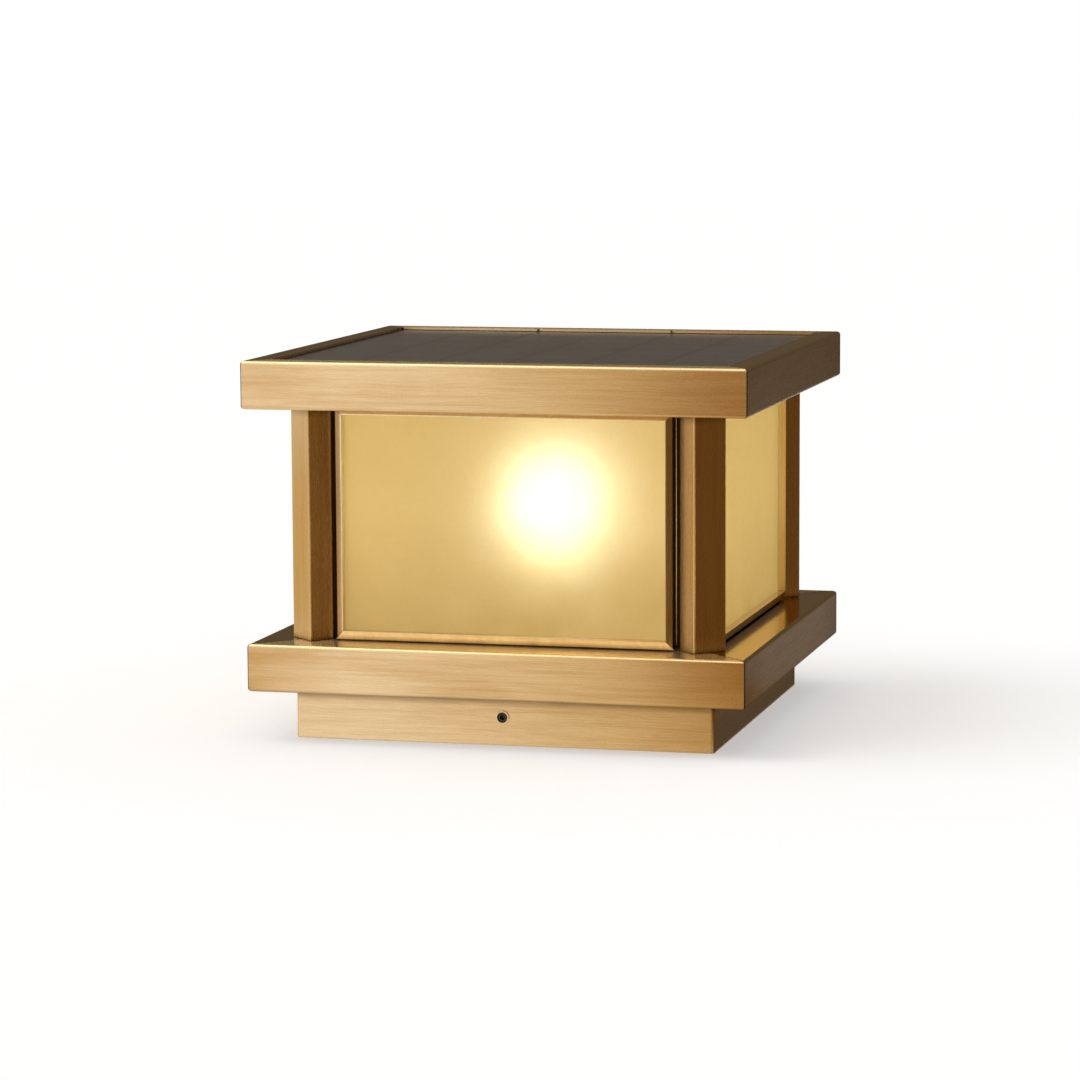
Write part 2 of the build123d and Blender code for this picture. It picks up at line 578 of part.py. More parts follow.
write("lamp_shell", revolve(Plane.XZ * make_face(shell_profile), Axis.Z))

body_low = z_shell + CONTACT_STEM_L
core = rod(2 * (root - LAMP_WALL), body_low, z_collar) + rod(LAMP_NECK_D, z_collar, z_neck)
write("lamp_body", core + rod(LAMP_POST_D, z_collar, z_board))

board = rod(LED_BOARD_D, z_board, z_board + LED_BOARD_T)
emitters = PolarLocations(LED_RING_D / 2, LED_COUNT)
for spot in emitters:
    board += Pos(0, 0, z_board + LED_BOARD_T) * (spot * extrude(Rectangle(LED_SIZE, LED_SIZE), amount=LED_H))
write("lamp_board", board)

# The globe's outline: a straight neck, a hollow arc and a round head, each tangent to the next
head_r = LAMP_GLOBE_D / 2
neck_r = LAMP_NECK_D / 2
head = Vector(0, z_lamp + LAMP_L - head_r)
z_bend = z_neck + LAMP_NECK_H
hollow_r = (neck_r ** 2 + (head.Y - z_bend) ** 2 - head_r ** 2) / (2 * (head_r - neck_r))
hollow = Vector(neck_r + hollow_r, z_bend)


def arc_about(centre, start, end):
    """The shorter arc from start to end about a centre."""
    radius = (start - centre).length
    middle = centre + ((start - centre).normalized() + (end - centre).normalized()).normalized() * radius
    return ThreePointArc(start, middle, end)


def globe_line(wall):
    """Half outline of the globe, a wall's thickness inside its outer face, from the neck up to the top."""
    foot = Vector(neck_r - wall, z_neck)
    bend = Vector(neck_r - wall, z_bend)
    meet = head + (hollow - head).normalized() * (head_r - wall)
    top = head + Vector(0, head_r - wall)
    return [Line(foot, bend), arc_about(hollow, bend, meet), arc_about(head, meet, top)]


outer = globe_line(0)
inner = globe_line(LAMP_WALL)
rim = Line(inner[0] @ 0, outer[0] @ 0)
crown = Line(outer[-1] @ 1, inner[-1] @ 1)
write("lamp_globe", revolve(Plane.XZ * make_face([rim, *outer, crown, *inner]), Axis.Z))

print(f"light {CAP_W:.0f} x {CAP_W:.0f} x {z_top:.0f} mm")
print(f"post axes at {post_at:.1f} mm, windows {2 * sight_w:.1f} x {2 * sight_h:.1f} mm, lamp top {z_lamp + LAMP_L:.1f} mm")
print(f"travel per radian: clamp screw {CLAMP_PITCH / 2 / pi:.5f} mm, lamp {LAMP_PITCH / 2 / pi:.5f} mm")
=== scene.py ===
# %% [markdown]
# Pillar light, dressed for a studio picture.
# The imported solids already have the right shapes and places: a brass lantern, lowered over a bracket
# and clamped to it. What is left for this file is finish, thread, sealant, light and camera.
# Each step below says what a piece is on the real object, how it could be made, and why this way was taken.

# %% Load the frame
import json
import math

import bpy
import numpy as np
from mathutils import Matrix, Vector


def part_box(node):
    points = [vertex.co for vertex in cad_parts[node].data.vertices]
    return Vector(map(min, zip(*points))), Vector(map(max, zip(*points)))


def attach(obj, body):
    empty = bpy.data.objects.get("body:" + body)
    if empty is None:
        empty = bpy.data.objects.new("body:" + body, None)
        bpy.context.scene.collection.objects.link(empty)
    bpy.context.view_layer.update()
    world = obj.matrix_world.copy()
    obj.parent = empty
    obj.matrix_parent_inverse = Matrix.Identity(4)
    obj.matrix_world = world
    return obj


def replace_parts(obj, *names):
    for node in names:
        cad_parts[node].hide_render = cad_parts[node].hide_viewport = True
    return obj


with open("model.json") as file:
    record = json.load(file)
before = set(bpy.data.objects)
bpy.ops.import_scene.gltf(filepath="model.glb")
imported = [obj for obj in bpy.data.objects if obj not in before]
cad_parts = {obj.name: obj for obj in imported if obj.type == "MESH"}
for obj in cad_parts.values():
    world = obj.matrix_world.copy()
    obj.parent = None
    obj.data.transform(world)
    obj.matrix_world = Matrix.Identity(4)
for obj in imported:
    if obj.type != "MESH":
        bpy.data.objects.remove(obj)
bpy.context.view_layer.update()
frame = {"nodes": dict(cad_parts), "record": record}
nodes = frame["nodes"]
slot_of = {part["node"]: part["material_slot"] for part in frame["record"]["subparts"]}

# %% [markdown]
# Every finish is a small node tree round one Principled shader.
# The trees could be built by hand in the editor, but a few helpers keep each one readable as a list:
# the constants go straight on the shader's sockets, and only what varies over the surface is linked.

# %% Helpers for finishes
# Most of a noise lies between these two values
NOISE_LOW = 0.3
NOISE_HIGH = 0.7
# Places of a colour mix's sockets
MIX_FACTOR = 0
MIX_FIRST = 6
MIX_SECOND = 7
MIX_RESULT = 2
finishes = {}


def finish(name, constants):
    """A new material whose shader has the given constants. Returns its tree and the shader."""
    material = bpy.data.materials.new(name)
    material.use_nodes = True
    finishes[name] = material
    shader = material.node_tree.nodes["Principled BSDF"]
    for socket, value in constants.items():
        shader.inputs[socket].default_value = value
    return material.node_tree, shader


def add(tree, kind, settings=(), **sockets):
    """One node of that kind: settings are its properties, sockets its unlinked inputs by name."""
    node = tree.nodes.new("ShaderNode" + kind)
    for key, value in dict(settings).items():
        setattr(node, key, value)
    for key, value in sockets.items():
        node.inputs[key.replace("_", " ")].default_value = value
    return node


def math_of(tree, operation, first, second):
    """One sum of two values, each a number or another node's output."""
    node = add(tree, "Math", {"operation": operation})
    for socket, value in enumerate((first, second)):
        if isinstance(value, (int, float)):
            node.inputs[socket].default_value = value
        else:
            tree.links.new(value, node.inputs[socket])
    return node.outputs[0]


def axis_of(tree, vector, axis):
    """One coordinate of a vector, by its letter."""
    node = add(tree, "SeparateXYZ")
    tree.links.new(vector, node.inputs[0])
    return node.outputs[axis]


def noise(tree, vector, scale, detail=3.0, rough=0.55):
    """A noise over a vector in metres.
    Its scale, one for all axes or one for each, is in periods per metre."""
    scales = scale if isinstance(scale, tuple) else (scale, scale, scale)
    mapping = add(tree, "Mapping", Scale=scales)
    tree.links.new(vector, mapping.inputs["Vector"])
    texture = add(tree, "TexNoise", Scale=1.0, Detail=detail, Roughness=rough)
    tree.links.new(mapping.outputs["Vector"], texture.inputs["Vector"])
    return texture.outputs["Fac"]


def spread(tree, value, low, high, start=NOISE_LOW, end=NOISE_HIGH):
    """Carries a value's range from start to end over to the range from low to high, and holds it there."""
    node = add(tree, "MapRange", From_Min=start, From_Max=end, To_Min=low, To_Max=high)
    tree.links.new(value, node.inputs["Value"])
    return node.outputs["Result"]


def between(tree, factor, first, second):
    """A colour between two colours, by a factor from 0 to 1."""
    node = add(tree, "Mix", {"data_type": "RGBA"})
    for socket, value in ((MIX_FIRST, first), (MIX_SECOND, second)):
        if isinstance(value, tuple):
            node.inputs[socket].default_value = (*value, 1.0)
        else:
            tree.links.new(value, node.inputs[socket])
    tree.links.new(factor, node.inputs[MIX_FACTOR])
    return node.outputs[MIX_RESULT]


def relief(tree, shader, height, depth, strength):
    """Bump: the height, from 0 to 1, stands for the given depth in metres, taken at part strength."""
    node = add(tree, "Bump", Strength=strength, Distance=depth)
    tree.links.new(height, node.inputs["Height"])
    tree.links.new(node.outputs["Normal"], shader.inputs["Normal"])


print("helpers ready")

# %% [markdown]
# The lantern is folded from brass sheet that was brushed, darkened and rubbed bright again.
# A brush leaves short scratches, so the grain is a noise that is stretched along the brush's way, and light
# spreads across the scratches: that is what the shader's anisotropy does. Three such noises, for long
# streaks, fine scratches and broad patches, say how much dark patina is left.
# More of it stays towards the ends of each rail. In the corners under an edge, where parts meet, a painted
# shade darkens the metal.
# The upper faces of the rails are polished smoother, so that they mirror the lit panes, and their colour is
# painted lighter: a painted reflection of the lit panes.
# A photograph of real sheet would do too, but it would have to be unfolded onto every bend.

# %% Brushed brass
BRASS_LIGHT = (0.70, 0.515, 0.30)
BRASS_WARM = (0.66, 0.45, 0.21)
BRASS_PALE = (0.74, 0.62, 0.44)
BRASS_DARK = (0.40, 0.19, 0.03)
# Lighter colour painted on the rails' upper faces: a painted reflection of the lit panes
UPPER_HIGHLIGHT = (0.86, 0.65, 0.34)
# Colour of the painted shade in the corners where parts meet
CORNER_SHADE = (0.10, 0.05, 0.012)
# Near-black brass for the pieces inside: a painted shade, so that the gaps beside the posts read black
INSIDE_LIGHT = (0.12, 0.08, 0.04)
INSIDE_DARK = (0.05, 0.03, 0.015)
# Scales of each grain along and across the brush's way, in periods per metre
SCRATCH = (75.0, 1700.0)
STREAK = (12.0, 420.0)
PATCH = (9.0, 45.0)
# Detail and roughness of the fine noise and of the two broad ones
FINE_NOISE = (3.0, 0.6)
BROAD_NOISE = (4.0, 0.65)
# Share of the patina's depth that each grain has, and the noise values between which it sets in
STREAK_TONE = (0.85, 0.42, 0.72)
SCRATCH_TONE = (0.30, 0.40, 0.80)
PATCH_TONE = (0.80, 0.48, 0.75)
# Patches hold back some of the wear at the ends and some of the painted shade in the corners
END_PATCH = (0.4, 1.0)
CORNER_SHADE_PATCH = (0.7, 1.0)
# Share of that colour in the darkest painted shade
CORNER_SHADE_SHARE = 0.85
# The ends are worn less and less from the first height to the second
END_WEAR = (2.2, 0.6)
END_HEIGHTS = (0.05, 0.20)
# A face counts as an upper one between these two upward parts of its normal
UPPER = (0.25, 0.65)
# Share of that painted highlight on upper faces
UPPER_HIGHLIGHT_SHARE = 0.85
# What polish takes off the roughness of upper faces, more on the sides than on the front and back
TOP_ROUGH = -0.15
DECK_ROUGH = -0.05
DRAWN = 0.9
ACROSS_GRAIN = 0.25
SCRATCH_RELIEF = (0.00002, 0.1)


def grain_scale(axis, pair):
    """Three scales of a grain along one axis, 0 for X, 1 for Y or 2 for Z.
    The pair has its scales along and across."""
    return tuple(pair[0] if k == axis else pair[1] for k in range(3))


def level_way(tree, source):
    """The level direction on an upright face, which is upwards crossed with the face's normal,
    and a point's place along it."""
    way = add(tree, "VectorMath", {"operation": "CROSS_PRODUCT"})
    way.inputs[0].default_value = (0.0, 0.0, 1.0)
    tree.links.new(source.outputs["Normal"], way.inputs[1])
    along = add(tree, "VectorMath", {"operation": "DOT_PRODUCT"})
    tree.links.new(source.outputs["Object"], along.inputs[0])
    tree.links.new(way.outputs[0], along.inputs[1])
    unrolled = add(tree, "CombineXYZ")
    tree.links.new(along.outputs["Value"], unrolled.inputs["X"])
    tree.links.new(axis_of(tree, source.outputs["Object"], "Z"), unrolled.inputs["Z"])
    return way.outputs[0], unrolled.outputs[0]


def brushed_brass(name, axis, light, dark, rough, depth, ends=None, drawn=DRAWN, corners=(),
                  top=TOP_ROUGH, upper_highlight=None):
    """Brass with its grain along one axis, or level round upright faces where no axis is given.
    Depth is the patina's share in the darkest streaks. It gathers between the two distances in ends,
    measured from the middle along the grain. Drawn is how far the brush draws out a highlight.
    Corners are pairs of heights: from the first to the second the metal goes dark, a painted shade
    where parts meet.
    Top is added to the roughness of upper faces. The last argument, where given, is a lighter colour
    painted on upper faces: a painted reflection of the lit panes."""
    tree, shader = finish(name, {
        "Metallic": 1.0, "Anisotropic": drawn, "Anisotropic Rotation": ACROSS_GRAIN})
    source = add(tree, "TexCoord")
    height = axis_of(tree, source.outputs["Object"], "Z")
    facing = axis_of(tree, source.outputs["Normal"], "Z")
    if axis is None:
        way, place = level_way(tree, source)
        axis = 0
    else:
        way = add(tree, "CombineXYZ", **{"XYZ"[axis]: 1.0}).outputs["Vector"]
        place = source.outputs["Object"]
    scratch = noise(tree, place, grain_scale(axis, SCRATCH), *FINE_NOISE)
    streak = noise(tree, place, grain_scale(axis, STREAK), *BROAD_NOISE)
    patch = noise(tree, place, grain_scale(axis, PATCH), *BROAD_NOISE)
    tone = light
    for grain, (share, start, end) in ((streak, STREAK_TONE), (scratch, SCRATCH_TONE), (patch, PATCH_TONE)):
        tone = between(tree, spread(tree, grain, 0.0, depth * share, start, end), tone, dark)
    if ends:
        reach = math_of(tree, "ABSOLUTE", axis_of(tree, place, "XYZ"[axis]), 0.0)
        worn = spread(tree, reach, 0.0, depth, *ends)
        worn = math_of(tree, "MULTIPLY", worn, spread(tree, patch, *END_PATCH))
        worn = math_of(tree, "MULTIPLY", worn, spread(tree, height, *END_WEAR, *END_HEIGHTS))
        tone = between(tree, worn, tone, dark)
    # Painted shade where parts meet, broken up by the broad patches
    for clear, corner in corners:
        painted_shade = spread(tree, height, 0.0, CORNER_SHADE_SHARE, clear, corner)
        painted_shade = math_of(tree, "MULTIPLY", painted_shade, spread(tree, patch, *CORNER_SHADE_PATCH))
        tone = between(tree, painted_shade, tone, CORNER_SHADE)
    # Painted reflection: upper faces get a lighter colour where one is given
    if upper_highlight:
        tone = between(tree, spread(tree, facing, 0.0, UPPER_HIGHLIGHT_SHARE, *UPPER), tone, upper_highlight)
    tree.links.new(tone, shader.inputs["Base Color"])
    polish = spread(tree, facing, 0.0, top, *UPPER)
    tree.links.new(math_of(tree, "ADD", spread(tree, scratch, *rough), polish), shader.inputs["Roughness"])
    tree.links.new(way, shader.inputs["Tangent"])
    relief(tree, shader, scratch, *SCRATCH_RELIEF)


print("brass ready for use")

# %% [markdown]
# Rails, plinth, posts and window frames are the same metal, brushed in different ways.
# A rail is brushed along its length, the plinth all round, and a post and a frame upwards.
# The corners are the heights where the plinth meets the base, and the posts and frames meet base and cap.
# There the metal is darkened with a painted shade.

# %% Brass on each kind of piece
SATIN = (0.25, 0.31)
BEAD = (0.14, 0.22)
DULL_INSIDE = (0.4, 0.55)
RAIL_ENDS = (0.09, 0.15)
RAIL_CORNER_SHADE = ((0.0316, 0.0300),)
PLINTH_CORNER_SHADE = ((0.0225, 0.0275),)
FRAME_CORNER_SHADE = ((0.0620, 0.0590),)
POST_CORNER_SHADE = ((0.0610, 0.0583), (0.1900, 0.1962))
RAIL_DEPTH = 0.42
PLINTH_DEPTH = 0.38
POST_DEPTH = 0.3
FRAME_DEPTH = 0.2
INSIDE_DEPTH = 0.6
FRAME_DRAWN = 0.2

for axis, letter, polish in ((0, "x", DECK_ROUGH), (1, "y", TOP_ROUGH)):
    brushed_brass("brass_rail_" + letter, axis, BRASS_LIGHT, BRASS_DARK, SATIN, RAIL_DEPTH, RAIL_ENDS,
                  corners=RAIL_CORNER_SHADE, top=polish, upper_highlight=UPPER_HIGHLIGHT)
brushed_brass("brass_plinth", None, BRASS_LIGHT, BRASS_DARK, SATIN, PLINTH_DEPTH, corners=PLINTH_CORNER_SHADE)
brushed_brass("brass_post", 2, BRASS_WARM, BRASS_DARK, SATIN, POST_DEPTH, corners=POST_CORNER_SHADE)
brushed_brass("brass_frame", 2, BRASS_PALE, BRASS_DARK, BEAD, FRAME_DEPTH, drawn=FRAME_DRAWN,
              corners=FRAME_CORNER_SHADE)
# The pieces inside get the near-black brass, a painted shade for the dark gaps between frames and posts
brushed_brass("dark_brass", 2, INSIDE_LIGHT, INSIDE_DARK, DULL_INSIDE, INSIDE_DEPTH)
print("brass finishes:", ", ".join(finishes))

# %% [markdown]
# The panes are frosted amber glass with a fine ripple from the rolling.
# Frosting blurs what is behind it, so it is roughness on a transmitting shader, and the lamp behind it then
# makes its own soft spot. The colour drifts a little. Towards the foot of each pane it is painted deeper
# and
# darker: a painted shade for the dimmer light down there.
# Light that is thrown to and fro between the four panes makes the whole glass glow, and that even part is
# a little emission.

# %% Amber glass
GLASS = {"Transmission Weight": 0.60, "IOR": 1.45}
GLASS_GLOW = {"Emission Color": (1.0, 0.73, 0.25, 1.0), "Emission Strength": 0.25}
AMBER = (0.56, 0.44, 0.20)
AMBER_CLOUD = (0.53, 0.40, 0.16)
AMBER_RIPPLE = (0.46, 0.33, 0.11)
# Deeper colour painted at the foot of each pane: a painted shade
AMBER_LOW_SHADE = (0.34, 0.21, 0.05)
RIPPLE = 420.0
RIPPLE_NOISE = (4.0, 0.6)
RIPPLE_SHARE = 0.25
RIPPLE_FROM = 0.45
RIPPLE_TO = 0.75
RIPPLE_RELIEF = (0.00025, 0.3)
CLOUD = 26.0
CLOUD_DETAIL = 4.0
FOOT_CLOUD = (0.5, 1.0)
FOOT_HEIGHTS = (0.06, 0.13)
FROST = (0.47, 0.55)

tree, shader = finish("amber_glass", {**GLASS, **GLASS_GLOW})
place = add(tree, "TexCoord").outputs["Object"]
ripple = noise(tree, place, RIPPLE, *RIPPLE_NOISE)
cloud = noise(tree, place, CLOUD, CLOUD_DETAIL)
tint = between(tree, spread(tree, cloud, 0.0, 1.0), AMBER, AMBER_CLOUD)
tint = between(tree, spread(tree, ripple, 0.0, RIPPLE_SHARE, RIPPLE_FROM, RIPPLE_TO), tint, AMBER_RIPPLE)
# Painted shade: the colour darkens towards the foot of each pane, broken up by the cloud
foot = spread(tree, axis_of(tree, place, "Z"), 1.0, 0.0, *FOOT_HEIGHTS)
foot = math_of(tree, "MULTIPLY", foot, spread(tree, cloud, *FOOT_CLOUD))
tint = between(tree, foot, tint, AMBER_LOW_SHADE)
tree.links.new(tint, shader.inputs["Base Color"])
tree.links.new(spread(tree, ripple, *FROST), shader.inputs["Roughness"])
relief(tree, shader, ripple, *RIPPLE_RELIEF)
print("amber glass ready")

# %% [markdown]
# The solar panel is a sheet of dark cells under satin glass. From the front it is a plain dark grey, and
# from above the cells' borders and the thin bars show. The pattern is a set of lines on the panel's own
# coordinates, worked out from how far a point is from the next line.

# %% Solar panel
PANEL_GLASS = {"IOR": 1.5, "Coat Weight": 0.5, "Coat Roughness": 0.2}
CELL_PITCH = 0.0445
BAR_PITCH = CELL_PITCH / 3
BORDER_W = 0.0014
BAR_W = 0.0005
CELL_TONE = (0.082, 0.075, 0.068)
CELL_PALE = (0.106, 0.097, 0.089)
BAR_TONE = (0.095, 0.092, 0.088)
BORDER_TONE = (0.030, 0.028, 0.026)
SHADE = 60.0
FINE = 900.0
PANEL_DETAIL = 2.0
PANEL_ROUGH = (0.34, 0.46)
PANEL_RELIEF = (0.00003, 0.3)


def line_mask(tree, coordinate, pitch, width):
    """1 on thin lines across one coordinate, at every pitch, and 0 between them."""
    folded = math_of(tree, "PINGPONG", coordinate, pitch / 2)
    return math_of(tree, "LESS_THAN", folded, width / 2)


tree, shader = finish("solar_cover", PANEL_GLASS)
place = add(tree, "TexCoord").outputs["Object"]
across = axis_of(tree, place, "X")
down = axis_of(tree, place, "Y")
shade = noise(tree, place, SHADE, PANEL_DETAIL)
cells = between(tree, spread(tree, shade, 0.0, 1.0), CELL_TONE, CELL_PALE)
cells = between(tree, line_mask(tree, across, BAR_PITCH, BAR_W), cells, BAR_TONE)
cells = between(tree, line_mask(tree, across, CELL_PITCH, BORDER_W), cells, BORDER_TONE)
cells = between(tree, line_mask(tree, down, CELL_PITCH, BORDER_W), cells, BORDER_TONE)
tree.links.new(cells, shader.inputs["Base Color"])
fine = noise(tree, place, FINE, PANEL_DETAIL)
tree.links.new(spread(tree, fine, *PANEL_ROUGH), shader.inputs["Roughness"])
relief(tree, shader, fine, *PANEL_RELIEF)
print(f"solar panel ready, {CELL_PITCH * 1000:.1f} mm cells")

# %% [markdown]
# Inside are plainer things: zinc plated steel, white paint, ceramic, plastic and rubber.
# Each is a colour that drifts a little, a roughness that drifts with it, and a fine relief,
# so one function with different numbers makes them all.

# %% Plain finishes
DRIFT_PART = 8
PLAIN_STRENGTH = 0.4
# Depths of the relief, in metres
SLEEK = 0.00002
EVEN = 0.00003
GRAINY = 0.00005
# Constants of the shader for each kind of stuff
METAL = {"Metallic": 1.0}
BLACKED = {"Metallic": 0.6}
DULL = {"Metallic": 0.0, "IOR": 1.45}
CLEAR = {"Transmission Weight": 0.6, "IOR": 1.41}
GLAZE = {"Coat Weight": 0.5}
LIT = {"Emission Color": (0.50, 0.64, 1.0, 1.0), "Emission Strength": 26.0}


def plain(name, colour, other, rough, scale, depth, constants):
    """A finish that drifts between two colours and two roughnesses, with a fine relief.
    The colour drifts at an eighth of the relief's scale, in periods per metre."""
    tree, shader = finish(name, constants)
    place = add(tree, "TexCoord").outputs["Object"]
    drift = noise(tree, place, scale / DRIFT_PART)
    fine = noise(tree, place, scale)
    tree.links.new(between(tree, spread(tree, drift, 0.0, 1.0), colour, other), shader.inputs["Base Color"])
    tree.links.new(spread(tree, fine, *rough), shader.inputs["Roughness"])
    relief(tree, shader, fine, depth, PLAIN_STRENGTH)


plain("zinc_steel", (0.60, 0.61, 0.62), (0.48, 0.50, 0.52), (0.28, 0.44), 500.0, EVEN, METAL)
plain("black_steel", (0.035, 0.034, 0.033), (0.055, 0.052, 0.050), (0.35, 0.5), 900.0, EVEN, BLACKED)
plain("tip_brass", (0.74, 0.59, 0.31), (0.62, 0.47, 0.22), (0.22, 0.34), 700.0, SLEEK, METAL)
plain("tray_sheet", (0.60, 0.60, 0.60), (0.50, 0.50, 0.50), (0.30, 0.45), 300.0, EVEN, METAL)
plain("lamp_shell_metal", (0.72, 0.72, 0.71), (0.62, 0.62, 0.61), (0.20, 0.32), 600.0, SLEEK, METAL)
plain("clear_silicone", (0.80, 0.78, 0.72), (0.72, 0.70, 0.64), (0.35, 0.5), 500.0, GRAINY, CLEAR)
plain("black_rubber", (0.018, 0.018, 0.018), (0.032, 0.031, 0.030), (0.6, 0.8), 800.0, GRAINY, DULL)
plain("black_case", (0.030, 0.030, 0.031), (0.045, 0.045, 0.046), (0.45, 0.6), 1500.0, GRAINY, DULL)
plain("white_soffit", (0.82, 0.80, 0.75), (0.74, 0.72, 0.66), (0.45, 0.6), 900.0, EVEN, DULL)
plain("white_ceramic", (0.86, 0.85, 0.82), (0.80, 0.79, 0.75), (0.12, 0.2), 200.0, EVEN, GLAZE)
plain("battery_wrap", (0.03, 0.10, 0.34), (0.04, 0.13, 0.42), (0.25, 0.35), 200.0, GRAINY, DULL)
plain("lamp_black", (0.015, 0.015, 0.016), (0.03, 0.03, 0.03), (0.1, 0.2), 400.0, SLEEK, DULL)
plain("lamp_white", (0.86, 0.86, 0.84), (0.80, 0.80, 0.78), (0.35, 0.5), 900.0, EVEN, DULL)
plain("lamp_opal", (0.95, 0.93, 0.88), (0.90, 0.88, 0.83), (0.3, 0.4), 300.0, SLEEK, LIT)
print(len(finishes), "finishes in all")

# %% [markdown]
# The record says which finish each solid has, and the finishes above have the same names,
# so dressing the solids is one loop.

# %% Put the finishes on the solids
for name, node in nodes.items():
    for place in node.material_slots:
        place.material = finishes[slot_of[name]]
print("dressed", len(nodes), "nodes")

# %% [markdown]
# The solids carry no screw threads, so three pieces get theirs here: the lamp's screw shell and the two
# clamp screws. A thread could be swept along a helix and cut from a bar, which is slow and often leaves bad
# edges. Here the piece is a set of rings along its axis, and the thread is only a wave in the rings' radius
# that moves on by one pitch in each turn. The last column of points meets the first, so there is no seam.

# %% Rings into a piece
SHARP = math.radians(40.0)
TURN = 2.0 * np.pi


def ring_faces(rows, columns):
    """Four-cornered faces between neighbouring rings, each ring closed on itself."""
    row, column = np.meshgrid(np.arange(rows - 1), np.arange(columns), indexing="ij")
    here = row * columns + column
    beside = row * columns + (column + 1) % columns
    return np.stack([here, beside, beside + columns, here + columns], -1).reshape(-1, 4)


def ringed_piece(name, body, slot, rings, tube=False):
    """A piece from rings of points with the material on the left of their way, riding on a body.
    The ends of a tube meet each other. Any other piece has its first and last ring shut by a fan of
    triangles."""
    rows, columns = rings.shape[:2]
    if tube:
        points = rings.reshape(-1, 3)
        faces = (ring_faces(rows + 1, columns) % len(points)).tolist()
    else:
        points = np.concatenate([rings.reshape(-1, 3), rings[:1].mean(1), rings[-1:].mean(1)])
        turn = np.arange(columns)
        after = (turn + 1) % columns
        last = (rows - 1) * columns
        middle = np.full(columns, rows * columns)
        fans = np.concatenate([np.stack([after, turn, middle], -1),
                               np.stack([last + turn, last + after, middle + 1], -1)])
        faces = ring_faces(rows, columns).tolist() + fans.tolist()
    mesh = bpy.data.meshes.new(name)
    mesh.from_pydata(points, [], faces)
    mesh.polygons.foreach_set("use_smooth", np.ones(len(faces), dtype=bool))
    mesh.set_sharp_from_angle(angle=SHARP)
    mesh.materials.append(finishes[slot])
    piece = bpy.data.objects.new(name, mesh)
    bpy.context.scene.collection.objects.link(piece)
    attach(piece, body)
    print(f"{piece.name}: {len(points)} points, {len(faces)} faces")
    return piece


def threaded_piece(node, body, rings, tube=False):
    """A piece that stands in for a node without threads."""
    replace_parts(ringed_piece(node + "_threaded", body, slot_of[node], rings, tube), node)


print("ring builder ready")

# %% [markdown]
# The lamp's shell is thin metal, pressed into a rounded thread of seven turns to the inch.
# Its wave is a cosine of the height less one pitch per turn, and it fades out at both ends, where the real
# shell runs out into plain rims. Two plain rings inside make it a tube with a wall.

# %% Lamp shell
LAMP_PITCH = 0.0254 / 7
LAMP_DEPTH = 0.0010
LAMP_WALL = 0.0012
SHELL_COLUMNS = 96
SHELL_ROWS = 121

low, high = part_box("lamp_shell")
crest_r = (high[0] - low[0]) / 2
root_r = crest_r - LAMP_DEPTH
inner_r = root_r - LAMP_WALL
turn = np.linspace(0.0, TURN, SHELL_COLUMNS, endpoint=False)
up, round_ = np.meshgrid(np.linspace(low[2], high[2], SHELL_ROWS), turn, indexing="ij")
wave = 0.5 + 0.5 * np.cos(TURN * up / LAMP_PITCH - round_)
fade = np.clip(np.minimum(up - low[2], high[2] - up) / LAMP_PITCH, 0.0, 1.0)
flat = np.ones((1, SHELL_COLUMNS))
radius = np.concatenate([root_r + LAMP_DEPTH * wave * fade, inner_r * flat, inner_r * flat])
up = np.concatenate([up, high[2] * flat, low[2] * flat])
rings = np.stack([radius * np.cos(turn), radius * np.sin(turn), up], -1)
threaded_piece("lamp_shell", "lamp", rings, True)

# %% [markdown]
# Each clamp screw is an M6 set screw with a hexagon socket. Its rings start in the bore for the soft tip,
# come round the inner end, run out along the thread and turn in to the socket. In the socket the rings are
# hexagons: the radius of a hexagon is half its width over the cosine of the angle to the nearest flat.

# %% Clamp screws
CLAMP_PITCH = 0.001
CLAMP_DEPTH = 0.0006
CLAMP_EDGE = 0.0005
# How much steeper the flanks are than on a thread with sharp crests and roots
FLANK = 1.25
SOCKET_WIDTH = 0.003
SOCKET_DEPTH = 0.003
BORE_R = 0.00128
BORE_DEPTH = 0.00208
SCREW_COLUMNS = 72
SCREW_ROWS = 163
SIXTH = np.pi / 3

low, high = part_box("clamp_screw_front")
screw_r = (high[0] - low[0]) / 2
screw_z = (high[2] + low[2]) / 2
inner_end = -high[1]
outer_end = -low[1]
turn = np.linspace(0.0, TURN, SCREW_COLUMNS, endpoint=False)
hexagon = SOCKET_WIDTH / 2 / np.cos((turn + SIXTH / 2) % SIXTH - SIXTH / 2)
along, round_ = np.meshgrid(np.linspace(inner_end, outer_end, SCREW_ROWS), turn, indexing="ij")
tooth = np.abs(2.0 * ((along / CLAMP_PITCH - round_ / TURN) % 1.0) - 1.0)
thread = screw_r - CLAMP_DEPTH * np.clip(FLANK * tooth - (FLANK - 1.0) / 2, 0.0, 1.0)
bevel = screw_r - CLAMP_EDGE + np.minimum(along - inner_end, outer_end - along)
thread = np.minimum(thread, bevel)
flat = np.ones((1, SCREW_COLUMNS))
radius = np.concatenate([BORE_R * flat, BORE_R * flat, thread, hexagon * flat, hexagon * flat])
along = np.concatenate([(inner_end + BORE_DEPTH) * flat, inner_end * flat, along,
                        outer_end * flat, (outer_end - SOCKET_DEPTH) * flat])
for side, sign in (("front", 1.0), ("back", -1.0)):
    rings = np.stack([sign * radius * np.cos(turn), -sign * along, screw_z + radius * np.sin(turn)], -1)
    threaded_piece(f"clamp_screw_{side}", f"{side}_screw", rings)

# %% [markdown]
# The rails of the cap and the base meet in open mitres, and the photograph shows those seams black.
# On a lantern that stands in the rain they are run full of dark sealant, which keeps light in and water
# out. Each bead is a strip in the upright plane through a corner: it follows the folded sheet from the
# upper face round both folds to the lower face, a little under the metal's outer face.
# It could be a flat blade, but a blade would stand out past the round folds.

